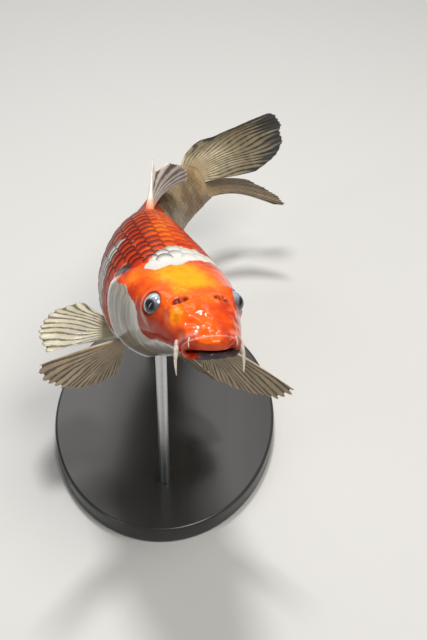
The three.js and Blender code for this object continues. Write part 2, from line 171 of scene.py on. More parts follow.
# The rings of the mouth, from its closed throat to where the snout begins: the
# stations of each ring's top, side and bottom, its half width, the heights of
# its top, bottom and middle, and how far its corners hang.
MOUTH = [
    (15, 22, 15, 4, -4.6, -5.4, -5.0, 2),
    (6, 16, 6, 9, -4.5, -6.0, -5.2, 2.4),
    (-1.5, 11.5, -0.5, 12, -4.6, -6.0, -5.3, 2.8),
    (-4.6, 9.6, -3.2, 13.4, -4.4, -6.4, -5.3, 3.2),
    (-6.3, 8.4, -4.6, 15.0, -3.0, -8.0, -5.2, 3.6),
    (-6.5, 7.4, -4.0, 16.6, 0.6, -9.9, -4.8, 3.9),
    (-5.0, 6.8, -1.8, 18.0, 3.2, -11.0, -4.2, 4),
    (-3.0, 6.8, 0.6, 18.6, 3.9, -11.0, -3.8, 4),
    (-1.2, 8.0, 3.0, 19.0, 4.3, -10.6, -3.3, 3.8)]
SNOUT_START = (2.2, 14.0, 6.0)               # stations of the first body ring
AROUND = 288
MOUTH_RINGS, HEAD_RINGS, TRUNK_RINGS = 54, 150, 126
angle = np.arange(AROUND) * 2 * math.pi / AROUND
side_share = np.abs(np.cos(angle)) ** 1.6

def ring_station(top, side, bottom):
    return np.where(np.sin(angle) > 0, top, bottom) * (1 - side_share) + side * side_share

controls = []
for top_s, side_s, bottom_s, half, top, bottom, middle, droop in MOUTH:
    up = np.sin(angle)
    controls.append(np.stack([
        ring_station(top_s, side_s, bottom_s),
        half * bulge(np.cos(angle), 0.8),
        middle + np.where(up > 0, top - middle, middle - bottom) * bulge(up, 0.8) - droop * side_share], -1))
HANG = 3.2                                   # the droop carried on to the first body ring
for share in (0.0, 0.22):
    s = ring_station(*SNOUT_START) * (1 - share) + 34 * share
    across, up = section(s, angle)
    controls.append(np.stack([s, across, up - HANG * side_share * (1 - share / 0.22)], -1))
controls = np.array(controls)

def blend_rings(rings, at):
    i = np.clip(np.floor(at).astype(int), 0, len(rings) - 3)
    t = (at - i)[:, None, None]
    before, here, after, beyond = (rings[np.clip(i + k, 0, len(rings) - 1)] for k in (-1, 0, 1, 2))
    return 0.5 * (2 * here + (after - before) * t + (2 * before - 5 * here + 4 * after - beyond) * t * t
                  + (3 * here - before - 3 * after + beyond) * t ** 3)

mouth = blend_rings(controls, np.linspace(0, len(MOUTH), MOUTH_RINGS, endpoint=False))
head_share = np.linspace(0, 1, HEAD_RINGS, endpoint=False)
head_s = np.where(head_share[:, None] < 0.26,
                  ring_station(*SNOUT_START) + (34 - ring_station(*SNOUT_START)) * head_share[:, None] / 0.26,
                  34 + (126 - 34) * (head_share[:, None] - 0.26) / 0.74)
trunk_s = np.repeat(np.linspace(126, BODY_END, TRUNK_RINGS)[:, None], AROUND, 1)
body_s = np.vstack([head_s, trunk_s])
body_rings = np.stack([body_s, *section(body_s, angle)], -1)
body_rings[:HEAD_RINGS, :, 2] -= HANG * side_share * (1 - smooth(0, 0.24, head_share))[:, None]
rings = np.concatenate([mouth, body_rings])
station, lateral, height = rings[..., 0], rings[..., 1], rings[..., 2]

# How far round the section each point lies from the middle of the back, and
# the degrees above the side on either hand.
steps = np.linalg.norm(np.diff(np.concatenate([rings, rings[:, :1]], 1)[..., 1:], axis=1), axis=-1)
along = np.concatenate([np.zeros((len(rings), 1)), np.cumsum(steps, 1)], 1)
quarter = AROUND // 4
girth_whole = along[:, -1:]
around_back = (along[:, :-1] - along[:, quarter:quarter + 1])
around_back = np.where(around_back > girth_whole / 2, around_back - girth_whole, around_back)
around_back = -np.where(around_back < -girth_whole / 2, around_back + girth_whole, around_back)
degrees = np.degrees(angle)
above_side = np.where(degrees <= 90, degrees, np.where(degrees <= 270, 180 - degrees, degrees - 360))

surface = place(station, lateral, height)

def normals_of(points, wrap):
    if wrap:
        across = np.roll(points, -1, 1) - np.roll(points, 1, 1)
    else:
        across = np.gradient(points, axis=1)
    length = np.gradient(points, axis=0)
    out = np.cross(across, length)
    return out / np.maximum(np.linalg.norm(out, axis=-1, keepdims=True), 1e-9)

out_from = normals_of(surface, True)
if np.mean(np.sum(out_from[-60] * (surface[-60] - surface[-60].mean(0)), -1)) < 0:
    out_from = -out_from

on_body = smooth(-1, 4, station) * (np.arange(len(rings)) >= MOUTH_RINGS - 4)[:, None]
coat_start = 73 + 30 * smooth(20, 44, np.abs(around_back))
rise = -0.8 * smooth(coat_start, coat_start + 10, station)

# The gill covers swell towards a rolled free edge, and the skin behind drops.
COVER_REAR, COVER_FRONT = 109.0, 64.0
from_middle = (above_side + 12) / 58
cover_edge = COVER_REAR - 15 * from_middle ** 2
cover_start = COVER_FRONT + 5 * from_middle ** 2
on_cover = smooth(-80, -66, above_side) * (1 - smooth(14, 32, above_side))
along_cover = np.clip((station - cover_start) / (cover_edge - cover_start), 0, 1.3)
before_edge = 1 - smooth(-0.2, 1.0, station - cover_edge)
rise += on_cover * before_edge * (2.6 * along_cover ** 2 + 0.55 * hump(station - cover_edge + 1.5, 1.3)
                                  - 0.35 * hump(station - cover_edge + 4.6, 1.4))
rise -= on_cover * (1 - before_edge) * 0.9 * hump(station - cover_edge - 1.5, 3.0)
rise -= on_cover * 0.5 * hump(station - cover_start - 1.5, 1.6) * (above_side < 30)

# Cheek bones, the hollow before each eye, and the fold at the mouth's corner.
rise += 0.9 * hump(station - 40, 11) * hump(above_side + 12, 14) * on_body
rise -= 0.7 * hump(station - 30, 7) * hump(above_side - 22, 12) * on_body
fold = np.zeros_like(rise)
for hand in (1, -1):
    for (fold_s, fold_w), (end_s, end_w) in (((2, 13), (5, 18)), ((5, 18), (9, 25))):
        t = np.clip(((station - fold_s) * (end_s - fold_s) + (hand * around_back - fold_w) * (end_w - fold_w))
                    / ((end_s - fold_s) ** 2 + (end_w - fold_w) ** 2), 0, 1)
        away = np.hypot(station - fold_s - t * (end_s - fold_s),
                        hand * around_back - fold_w - t * (end_w - fold_w))
        fold = np.maximum(fold, hump(away, 2.2))
rise += 1.3 * fold * on_body

# Nostrils: a pit over each side of the snout, parted by an upright flap.
NOSTRIL = (32.0, 13.8)                       # station, and how far from the middle of the back
PIT = (3.5, 5.9)                             # half sizes, along and across
pit_shade = np.zeros_like(rise)
for hand in (1, -1):
    a = (station - NOSTRIL[0]) / PIT[0]
    b = (hand * around_back - NOSTRIL[1]) / PIT[1]
    reach = np.sqrt(a * a + b * b)
    pit = np.clip(1 - reach ** 2, 0, 1) ** 0.8
    flap = hump(hand * around_back - NOSTRIL[1] + 0.6, 0.8) * smooth(1.15, 0.8, reach)
    rise += -2.7 * pit * (1 - 0.85 * flap) + 0.55 * hump(reach - 1.22, 0.24) + 0.9 * flap
    # Painted shade: this marks the pits, which the paint darkens to a near-black red.
    pit_shade = np.maximum(pit_shade, smooth(1.05, 0.8, reach) * (1 - 0.75 * flap))

surface = surface + out_from * rise[..., None]
roll_back = on_cover * hump(station - cover_edge + 0.3, 1.1) * 1.3
surface -= axes_at(station)[0] * roll_back[..., None]

# Eye sockets: the skin is carried to a round opening that faces out and forward.
EYE_STATION, EYE_LATERAL, EYE_HEIGHT, EYE_RADIUS = 47.0, 24.2, 9.4, 8.4
lid_shade = np.zeros_like(rise)
for hand in (1, -1):
    centre = place(EYE_STATION, hand * EYE_LATERAL, EYE_HEIGHT)
    forward, left, up = axes_at(np.array(EYE_STATION))
    facing = 0.82 * hand * left + 0.42 * up + 0.34 * forward
    facing /= np.linalg.norm(facing)
    offset = surface - centre
    proud = offset @ facing
    reach = np.linalg.norm(offset - proud[..., None] * facing, axis=-1)
    near = smooth(14.5, 7.4, reach) * (proud > -6)
    wanted = 4.1 - 1.6 * smooth(7.0, 5.6, reach) + 0.75 * hump(reach - 8.6, 1.1)
    surface += ((wanted - proud) * near)[..., None] * facing
    # Painted shade: a dark ring in the gap where the skin meets the eyeball.
    lid_shade = np.maximum(lid_shade, hump(reach - 7.2, 1.3) * (proud > -6))

# The markings are told by where a point lies: its station s, the way round w
# from the middle of the back (to the left above nought) and the degrees a that
# it stands above the side. White is a distance in millimetres, above nought
# inside a white patch; the others run from nought to one.
def capsule(s, w, ends, radius):
    (s0, w0), (s1, w1) = ends
    ds, dw = s1 - s0, w1 - w0
    t = np.clip(((s - s0) * ds + (w - w0) * dw) / (ds * ds + dw * dw + 1e-9), 0, 1)
    return radius - np.hypot(s - s0 - t * ds, w - w0 - t * dw)

nape_front = follow([
    (-27, 92), (-24, 84.5), (-17, 76), (-7, 77),
    (1, 78.5), (11, 86), (20, 89), (30, 96), (36, 106)], 1)
nape_rear = follow([
    (-27, 84), (-20, 90), (-13, 95), (-5, 99),
    (2, 102), (16, 103), (22, 100), (30, 99), (36, 98)], 1)
cheek_line = follow([
    (0, -6), (13, -11), (27, -20), (50, -22),
    (57, -15), (62, 2), (69, 11), (80, 21), (95, 20)], 1)
stripe_front = follow([(-20, 150), (-7, 142), (7, 134), (21, 137), (38, 139), (49, 141), (54, 150)], 1)
stripe_rear = follow([(-20, 166), (0, 166), (14, 167), (34, 152), (44, 148), (54, 143)], 1)

def white_field(s, w, a):
    right = w < 0
    nape = 0.8 * np.minimum(s - nape_front(w), nape_rear(w) - s)
    cheek = np.minimum((cheek_line(s) - np.where(right, 0, 13) - a) * 0.6, 113 - s)
    stripe = 0.8 * np.minimum(s - stripe_front(a), stripe_rear(a) - s) - np.where(right, 0, 30)
    belly = np.minimum((-34 + 7 * np.sin(s / 13) + 3 * np.sin(s / 5 + w / 9) - a) * 0.6, s - 112)
    tail = s - 296 - 7 * np.sin(w / 7 + 1) - 3 * np.sin(w / 3)
    tail = np.minimum(tail, -capsule(s, w, ((288, -3), (326, -2)), 7.5))
    return np.maximum.reduce([nape, cheek, stripe, belly, tail])

def gold_and_highlight_field(s, w, a):
    crown = 1.1 * np.exp(-((s - 60) / 24) ** 2 - ((w + 4) / 21) ** 2)
    # Painted highlight: a golder band along the ridge of the back.
    ridge_highlight = np.exp(-((w - 2) / 15) ** 2) * smooth(98, 116, s) * (1 - smooth(300, 330, s))
    snout = 0.7 * np.exp(-((s - 21) / 8) ** 2 - ((w + 21) / 6) ** 2)
    nose = 0.36 * np.exp(-((s - 10) / 22) ** 2 - ((w + 2) / 14) ** 2)
    temple = 0.5 * np.exp(-((s - 84) / 9) ** 2 - ((w + 33) / 8) ** 2)
    return np.clip(crown + 0.42 * ridge_highlight + snout + nose + temple, 0, 1)

def ink_field(s, w, a):
    return smooth(-1.2, 1.2, capsule(s, w, ((102, -34), (109, -44)), 4.6))

def tan_and_shade_field(s, w, a):
    """How far the white has turned to the tail's cream, which is painted a dark tan, partly as painted shade.
    """
    return smooth(280, 318, s)

def net_and_shade_field(s, w, a):
    """How dark the edges of the scales are: the net of darker rims, with more painted shade on the right
    shoulder.
    """
    shoulder_shade = np.exp(-((w + 30) / 26) ** 2) * (1 - 0.5 * smooth(200, 260, s))
    nape = smooth(-8, 6, w) * smooth(108, 98, s)
    return np.clip(0.38 + 0.85 * shoulder_shade + 0.08 * smooth(5, 30, w) - 0.1 * nape, 0, 1)

markings = (station, around_back, above_side)
ring_number = np.arange(len(rings))[:, None] + 0 * angle
lip_rows = MOUTH_RINGS / len(MOUTH)
# Painted shade: the inside of the mouth is painted near black; the lower lip dark grey, partly its own colour
# and partly painted shade.
mouth_inside_shade = smooth(3.4 * lip_rows, 2.6 * lip_rows, ring_number)
lower_lip_grey_and_shade = ((np.sin(angle) < 0.0) * smooth(2.6 * lip_rows, 3.2 * lip_rows, ring_number)
            * smooth(7.2 * lip_rows, 6.3 * lip_rows, ring_number) * smooth(-12, -7, lateral))
groove = hump(ring_number - 7.6 * lip_rows, 1.6) * smooth(0.1, 0.4, np.sin(angle))
pale_fold = np.clip(np.maximum(fold * on_body, 0.8 * groove), 0, 1)
corner = hump(ring_number - 5.6 * lip_rows, 1.5 * lip_rows) * smooth(0.80, 0.95, np.abs(np.cos(angle)))
wet = np.maximum(smooth(52, 20, station) * smooth(8, 42, above_side), smooth(12, 6, station))
# The rolled rim of each gill cover is painted near white: partly its pale rim, partly a painted highlight.
cover_rim_and_highlight = on_cover * hump(station - cover_edge + 1.6, 1.9)
# Painted shade: dark lines in the groove inside each gill cover's rolled edge and under its free edge.
cover_crease_shade = on_cover * np.maximum(0.75 * hump(station - cover_edge + 4.7, 0.8),
                                   hump(station - cover_edge - 1.2, 1.6))

def grid_mesh(name, points, wrap):
    """A grid primitive with its vertices carried to the given rows of points."""
    rows, columns = points.shape[:2]
    bpy.ops.mesh.primitive_grid_add(
        x_subdivisions=columns - (0 if wrap else 1), y_subdivisions=rows - 1, size=2)
    piece = bpy.context.object
    piece.name = name
    piece.data.name = name
    full = np.concatenate([points, points[:, :1]], 1) if wrap else points
    piece.data.vertices.foreach_set("co", (full.reshape(-1, 3) / 1000).astype(np.float32).ravel())
    piece.data.update()
    return piece

def set_field(piece, name, values, wrap):
    full = np.concatenate([values, values[:, :1]], 1) if wrap else values
    field = piece.data.attributes.new(name, "FLOAT", "POINT")
    field.data.foreach_set("value", full.astype(np.float32).ravel())

def set_chart(piece, name, u, v):
    chart = piece.data.uv_layers.get(name) or piece.data.uv_layers.new(name=name)
    corner = np.empty(len(piece.data.loops), int)
    piece.data.loops.foreach_get("vertex_index", corner)
    flat = np.stack([u.ravel(), v.ravel()], -1)[corner]
    chart.data.foreach_set("uv", flat.astype(np.float32).ravel())

def close_up(piece, weld):
    """Welds the seam, caps the open ends and turns the faces outwards."""
    bpy.ops.object.select_all(action="DESELECT")
    piece.select_set(True)
    bpy.context.view_layer.objects.active = piece
    bpy.ops.object.mode_set(mode="EDIT")
    bpy.ops.mesh.select_all(action="SELECT")
    bpy.ops.mesh.remove_doubles(threshold=weld)
    bpy.ops.mesh.select_all(action="SELECT")
    bpy.ops.mesh.fill_holes(sides=0)
    bpy.ops.mesh.select_all(action="SELECT")
    bpy.ops.mesh.normals_make_consistent(inside=False)
    bpy.ops.object.mode_set(mode="OBJECT")
    bpy.ops.object.shade_smooth()
    piece.select_set(False)

skin = grid_mesh("koi_skin", surface, True)
on_lip = smooth(7.4 * lip_rows, 6.8 * lip_rows, ring_number)
for name, values in (
        ("white", white_field(*markings) * (1 - on_lip) - 3 * on_lip),
        ("gold", gold_and_highlight_field(*markings)), ("ink", ink_field(*markings)),
        ("tan", tan_and_shade_field(*markings)), ("pit", pit_shade), ("mouth", np.maximum(mouth_inside_shade, lower_lip_grey_and_shade)),
        ("fold", pale_fold), ("corner", corner),
        ("socket_shade", lid_shade), ("cover", along_cover * on_cover * before_edge),
        ("above", above_side / 90), ("rim", cover_rim_and_highlight),
        ("line", cover_crease_shade), ("wet", wet)):
    set_field(skin, name, values + 0 * station, True)
turn = np.concatenate([np.tile(np.arange(AROUND), (len(rings), 1)),
                       np.full((len(rings), 1), AROUND)], 1) / AROUND
length_share = np.tile(np.linspace(0.01, 0.99, len(rings))[:, None], (1, AROUND + 1))
set_chart(skin, "OFBake", turn, length_share)
close_up(skin, 0.000002)

def new_material(name):
    material = bpy.data.materials.new(name)
    material.use_nodes = True
    nodes, links = material.node_tree.nodes, material.node_tree.links
    return material, nodes, links, nodes["Principled BSDF"]

def read_field(nodes, name):
    node = nodes.new("ShaderNodeAttribute")
    node.attribute_name = name
    return node.outputs["Fac"]

def math_node(nodes, links, operation, a, b=None, clamp=False):
    node = nodes.new("ShaderNodeMath")
    node.operation = operation
    node.use_clamp = clamp
    for socket, value in zip(node.inputs, (a, b)):
        if value is None:
            continue
        if isinstance(value, (int, float)):
            socket.default_value = value
        else:
            links.new(value, socket)
    return node.outputs[0]

def map_range(nodes, links, value, low, high, to_low=0.0, to_high=1.0):
    node = nodes.new("ShaderNodeMapRange")
    node.interpolation_type = "SMOOTHSTEP"
    links.new(value, node.inputs["Value"])
    for name, number in (("From Min", low), ("From Max", high), ("To Min", to_low), ("To Max", to_high)):
        node.inputs[name].default_value = number
    return node.outputs["Result"]

def mix_colour(nodes, links, factor, a, b, kind="MIX"):
    node = nodes.new("ShaderNodeMix")
    node.data_type = "RGBA"
    node.blend_type = kind
    for socket, value in ((node.inputs[0], factor), (node.inputs[6], a), (node.inputs[7], b)):
        if isinstance(value, (tuple, list)):
            socket.default_value = (*value, 1.0)
        elif isinstance(value, (int, float)):
            socket.default_value = value
        else:
            links.new(value, socket)
    return node.outputs[2]

def noise(nodes, links, scale, detail=3.0, rough=0.55, stretch=None):
    node = nodes.new("ShaderNodeTexNoise")
    node.inputs["Scale"].default_value = scale
    node.inputs["Detail"].default_value = detail
    node.inputs["Roughness"].default_value = rough
    where = nodes.new("ShaderNodeTexCoord")
    source = where.outputs["Object"]
    if stretch:
        mapping = nodes.new("ShaderNodeMapping")
        mapping.inputs["Scale"].default_value = stretch
        links.new(source, mapping.inputs["Vector"])
        source = mapping.outputs["Vector"]
    links.new(source, node.inputs["Vector"])
    return node.outputs["Fac"]

RED = (0.50, 0.027, 0.003)
ORANGE = (0.86, 0.108, 0.004)
GOLD = (0.97, 0.32, 0.002)
PEARL = (0.61, 0.595, 0.545)
PEARL_SHADE = (0.30, 0.27, 0.20)
INK = (0.012, 0.011, 0.012)

def chart_noise(nodes, links, first, second, detail=3.0):
    """Noise that follows two fields of the piece."""
    join = nodes.new("ShaderNodeCombineXYZ")
    links.new(first, join.inputs["X"])
    links.new(second, join.inputs["Y"])
    node = nodes.new("ShaderNodeTexNoise")
    node.inputs["Scale"].default_value = 1.0
    node.inputs["Detail"].default_value = detail
    links.new(join.outputs["Vector"], node.inputs["Vector"])
    return node.outputs["Fac"]

def koi_colour(nodes, links, white_blur):
    """The markings that skin and scales share."""
    patches = noise(nodes, links, 60.0, 3.0)
    ragged = noise(nodes, links, 420.0, 2.0)
    gold = math_node(nodes, links, "ADD", read_field(nodes, "gold"),
                     map_range(nodes, links, patches, 0.3, 0.7, -0.2, 0.2))
    warm = mix_colour(nodes, links, map_range(nodes, links, gold, -0.1, 0.38), RED, ORANGE)
    warm = mix_colour(nodes, links, map_range(nodes, links, gold, 0.35, 0.95), warm, GOLD)
    wander = math_node(nodes, links, "ADD", read_field(nodes, "white"),
                       map_range(nodes, links, patches, 0.3, 0.7, -1.6, 1.6))
    wander = math_node(nodes, links, "ADD", wander, map_range(nodes, links, ragged, 0.3, 0.7, -0.5, 0.5))
    white = map_range(nodes, links, wander, -white_blur, white_blur)
    pearl = mix_colour(nodes, links,
                       map_range(nodes, links, noise(nodes, links, 35.0, 4.0), 0.42, 0.75, 0.0, 0.5),
                       PEARL, PEARL_SHADE)
    # Towards the tail the white turns a dark tan: partly the tail's cream, partly painted shade.
    pearl = mix_colour(nodes, links, read_field(nodes, "tan"), pearl, mix_colour(
        nodes, links, map_range(nodes, links, patches, 0.4, 0.62), (0.35, 0.25, 0.14), (0.20, 0.13, 0.065)))
    cloud = map_range(nodes, links, noise(nodes, links, 75.0, 4.0), 0.5, 0.72, 0.0, 0.4)
    warm = mix_colour(nodes, links, cloud, warm, (0.46, 0.022, 0.002))
    colour = mix_colour(nodes, links, white, warm, pearl)
    ink = map_range(nodes, links, math_node(nodes, links, "ADD", read_field(nodes, "ink"),
                                            map_range(nodes, links, ragged, 0.3, 0.7, -0.3, 0.3)), 0.35, 0.65)
    return mix_colour(nodes, links, ink, colour, INK), white

skin_paint, nodes, links, shader = new_material("koi_skin")
colour, white = koi_colour(nodes, links, 0.6)
# The white gill covers get striations that follow their free edge, darkened towards a brown grey, partly as
# painted shade.
across_cover = math_node(nodes, links, "MULTIPLY", read_field(nodes, "cover"), 9.0)
down_cover = math_node(nodes, links, "MULTIPLY", read_field(nodes, "above"), 2.4)
streak = map_range(nodes, links, chart_noise(nodes, links, across_cover, down_cover), 0.3, 0.68, 0.4, 0.95)
# Painted shade: wherever the skin is red it deepens to a darker red below the middle of the side.
cheek_shade = map_range(nodes, links, read_field(nodes, "above"), 0.02, 0.3, 0.75, 0.0)
cheek_shade = math_node(nodes, links, "MULTIPLY", cheek_shade,
                      math_node(nodes, links, "SUBTRACT", 1.0, white, True))
colour = mix_colour(nodes, links, cheek_shade, colour, (0.30, 0.012, 0.002))
cover_streaks_and_shade = math_node(nodes, links, "MULTIPLY", streak, math_node(nodes, links, "MULTIPLY", white, map_range(
    nodes, links, read_field(nodes, "cover"), 0.02, 0.3)))
colour = mix_colour(nodes, links, cover_streaks_and_shade, colour, (0.20, 0.165, 0.115))
# Painted shade: the white darkens to a brown grey low on the sides and underneath.
chin_shade = math_node(nodes, links, "MULTIPLY", white,
                 map_range(nodes, links, read_field(nodes, "above"), -0.6, -0.12, 0.8, 0.0))
colour = mix_colour(nodes, links, chin_shade, colour, (0.18, 0.145, 0.10))
speckle = map_range(nodes, links, noise(nodes, links, 900.0, 2.0), 0.66, 0.78, 0.0, 0.35)
colour = mix_colour(nodes, links, speckle, colour, (0.30, 0.06, 0.01))
for field, strength, tone in (("fold", 0.8, (0.56, 0.48, 0.42)), ("corner", 0.4, (0.70, 0.26, 0.16)),
                              # Painted shade: the nostril pits and the gap round each eye are darkened.
                              ("pit", 0.93, (0.10, 0.006, 0.004)), ("socket_shade", 0.8, (0.11, 0.010, 0.005)),
                              # Painted shade in the gill covers' creases; their rims are brightened, partly as
                              # a painted highlight.
                              ("line", 0.8, (0.10, 0.085, 0.07)), ("rim", 0.85, (0.86, 0.86, 0.80)),
                              # Painted shade inside the mouth and, in part, on the lower lip.
                              ("mouth", 0.97, (0.045, 0.042, 0.045))):
    amount = math_node(nodes, links, "MULTIPLY", read_field(nodes, field), strength)
    colour = mix_colour(nodes, links, amount, colour, tone)
links.new(colour, shader.inputs["Base Color"])
shader.inputs["Roughness"].default_value = 0.3
shader.inputs["Specular IOR Level"].default_value = 0.05
shader.inputs["Coat Weight"].default_value = 0.8
shader.inputs["Coat Roughness"].default_value = 0.03
shader.inputs["Subsurface Weight"].default_value = 0.1
shader.inputs["Subsurface Radius"].default_value = (0.004, 0.0015, 0.0008)
shader.inputs["Subsurface Scale"].default_value = 0.5
ripple = math_node(nodes, links, "MULTIPLY", noise(nodes, links, 150.0, 0.5), math_node(
    nodes, links, "ADD", math_node(nodes, links, "MULTIPLY", read_field(nodes, "wet"), 2.0), 0.15))
height = math_node(nodes, links, "ADD", ripple,
                   math_node(nodes, links, "MULTIPLY", noise(nodes, links, 420.0, 3.0), 0.08))
bump = nodes.new("ShaderNodeBump")
bump.inputs["Strength"].default_value = 1.0
bump.inputs["Distance"].default_value = 0.002
links.new(height, bump.inputs["Height"])
links.new(bump.outputs["Normal"], shader.inputs["Normal"])
links.new(bump.outputs["Normal"], shader.inputs["Coat Normal"])
shader.inputs["Coat IOR"].default_value = 1.38
skin.data.materials.append(skin_paint)
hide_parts("head", "lower_jaw", "gill_cover_left", "gill_cover_right",
            "trunk_front", "trunk_rear", "tail_root")
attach(skin, "root")

# ------------------------------------------------------------------ the scales
# Overlapping round-edged shields in staggered rings from the nape to the tail,
# each rooted in the skin under the one before and lifted at its free edge.
PER_RING = 13                                # every second ring sits half a scale round
FIRST_RING, LAST_RING = 80.0, 404.0
SCALE_COLUMNS, SCALE_ROWS = 7, 6
chart_s = np.arange(70, BODY_END + 0.1, 2.0)
fine = np.linspace(90, 270, 181)             # from the back round the right side to the belly
outline = np.stack(section(chart_s[:, None], np.radians(fine)[None]), -1)
run = np.concatenate([np.zeros((len(chart_s), 1)),
                      np.cumsum(np.linalg.norm(np.diff(outline, axis=1), axis=-1), 1)], 1)
half_girth = run[:, -1]
share_table = np.array([np.interp(np.linspace(0, 1, 121), r / r[-1], fine) for r in run])

def half_girth_at(s):
    return np.interp(s, chart_s, half_girth)

def degrees_round(s, w):
    """The angle of a point of the bare body that lies w round from the back."""
    share = np.clip(np.abs(w) / half_girth_at(s), 0, 1) * 120
    row = np.clip((s - chart_s[0]) / 2.0, 0, len(chart_s) - 1.001)
    i, j = np.floor(row).astype(int), np.minimum(np.floor(share).astype(int), 119)
    f, g = row - i, share - j
    return ((share_table[i, j] * (1 - g) + share_table[i, j + 1] * g) * (1 - f)
            + (share_table[i + 1, j] * (1 - g) + share_table[i + 1, j + 1] * g) * f)

def on_body_chart(s, w):
    turn = degrees_round(s, w)
    return place(s, *section(s, np.radians(np.where(w > 0, 180 - turn, turn)), -0.8))

generator = np.random.default_rng(7)
roots = []
s, k = FIRST_RING, 0
while s < LAST_RING:
    wide = 2 * half_girth_at(s) / PER_RING
    for j in range(PER_RING):
        w = (j + 0.5 * (k % 2) - PER_RING / 2 + 0.5) * wide
        w = w - 2 * half_girth_at(s) if w > half_girth_at(s) else w
        if s > 80 + 30 * smooth(20, 44, abs(w)) + 4 * smooth(60, 120, abs(w)):
            roots.append((s, w, wide))
    s, k = s + wide * (0.205 + 0.05 * smooth(250, 400, s)), k + 1
roots = np.array(roots)
count = len(roots)
root_s, root_w, wide = (roots[:, k, None, None] for k in range(3))
u = np.linspace(-1, 1, SCALE_COLUMNS)[None]
t = np.array([0, 0.3, 0.55, 0.75, 0.9, 1.0])[:, None]
size = wide / 21.6
longer = generator.uniform(0.96, 1.05, count)[:, None, None]
scale_s = root_s - 0.12 * wide + t * (1 - 0.42 * np.abs(u) ** 2.3) * wide * 0.74 * longer
scale_w = root_w + u * (0.72 + 0.28 * smooth(0, 0.5, t)) * wide * 0.40
whole = half_girth_at(scale_s)
scale_w = np.where(scale_w > whole, scale_w - 2 * whole,
                   np.where(scale_w < -whole, scale_w + 2 * whole, scale_w))
base_point = on_body_chart(scale_s, scale_w)
ahead = on_body_chart(scale_s + 0.5, scale_w)
aside = on_body_chart(scale_s, scale_w + np.where(np.abs(scale_w) < 1, 0.5, -0.5 * np.sign(scale_w)))
out = np.cross(ahead - base_point, aside - base_point)
out /= np.maximum(np.linalg.norm(out, axis=-1, keepdims=True), 1e-9)
out = np.where(np.sum(out * (spine_at(scale_s) - base_point), -1, keepdims=True) > 0, -out, out)
lean = generator.uniform(-0.09, 0.09, (2, count))[:, :, None, None]
lift = np.maximum(size, 0.45) * (-0.55 + 1.55 * t ** 1.1 * (1 - 0.74 * np.abs(u) ** 3)
                                 + 0.22 * (1 - u ** 2) + lean[0] * u + lean[1] * t)
tops = base_point + out * (lift - 0.12)[..., None]

# One block of vertices a scale: its top grid, then a skirt round its sides and rear.
rim = ([(r, 0) for r in range(SCALE_ROWS)] + [(SCALE_ROWS - 1, c) for c in range(1, SCALE_COLUMNS)]
       + [(r, SCALE_COLUMNS - 1) for r in range(SCALE_ROWS - 2, -1, -1)])
rim_rows, rim_columns = np.array(rim).T
skirt = (tops[:, rim_rows, rim_columns]
         - out[:, rim_rows, rim_columns] * (0.75 * np.maximum(size[..., 0], 0.45))[..., None])
grid_count = SCALE_ROWS * SCALE_COLUMNS
block = np.concatenate([tops.reshape(count, grid_count, 3), skirt], 1)
faces = [(r * SCALE_COLUMNS + c, r * SCALE_COLUMNS + c + 1,
          (r + 1) * SCALE_COLUMNS + c + 1, (r + 1) * SCALE_COLUMNS + c)
         for r in range(SCALE_ROWS - 1) for c in range(SCALE_COLUMNS - 1)]
for i in range(len(rim) - 1):
    a, b = (rim[k][0] * SCALE_COLUMNS + rim[k][1] for k in (i, i + 1))
    faces.append((a, grid_count + i, grid_count + i + 1, b))
faces = np.array(faces)
a, b, c = (block[:, faces[0][k]] for k in (0, 1, 3))
turned = np.sum(np.cross(b - a, c - a) * out[:, 0, 0], -1) < 0
all_faces = np.where(turned[:, None, None], faces[None, :, ::-1], faces[None]) \
    + (np.arange(count) * block.shape[1])[:, None, None]
scales_mesh = bpy.data.meshes.new("koi_scales")
scales_mesh.from_pydata((block.reshape(-1, 3) / 1000).tolist(), [], all_faces.reshape(-1, 4).tolist())
scales = bpy.data.objects.new("koi_scales", scales_mesh)
bpy.context.scene.collection.objects.link(scales)

def with_skirt(values):
    values = np.broadcast_to(values, scale_s.shape)
    return np.concatenate([values.reshape(count, -1), values[:, rim_rows, rim_columns]], 1)

near_root = np.abs(scale_w - root_w) < 40
told_s = 0.5 * scale_s + 0.5 * (root_s + 0.3 * wide)
told_w = np.where(near_root, 0.5 * scale_w + 0.5 * root_w, scale_w)
told_a = degrees_round(told_s, told_w)
told_a = np.where(told_a <= 270, 180 - told_a, told_a - 360)
markings = (told_s, told_w, told_a)
for name, values in (("white", white_field(*markings)), ("gold", gold_and_highlight_field(*markings)),
                     ("ink", ink_field(*markings)), ("net_and_shade", net_and_shade_field(*markings)),
                     ("tan", tan_and_shade_field(*markings)),
                     ("side", u + 0 * t), ("deep", smooth(82, 96, root_s)),
                     ("free", t + 0 * u), ("tint", generator.uniform(0, 1, count)[:, None, None])):
    field = scales_mesh.attributes.new(name, "FLOAT", "POINT")
    field.data.foreach_set("value", with_skirt(values).astype(np.float32).ravel())
root_turn = degrees_round(root_s, root_w)
root_turn = np.where(root_w > 0, 180 - root_turn, root_turn) % 360
patch_u = np.clip(root_turn / 360, 0.0015, 0.9985) + u * 0.0015
patch_v = (0.01 + 0.98 * (MOUTH_RINGS + HEAD_RINGS
                          + (root_s - 126) / (BODY_END - 126) * TRUNK_RINGS) / len(rings)
           + (t - 0.5) * 0.003)
set_chart(scales, "OFBake", with_skirt(patch_u), with_skirt(np.clip(patch_v, 0, 0.995)))
scales_mesh.polygons.foreach_set("use_smooth", np.ones(len(scales_mesh.polygons), bool))

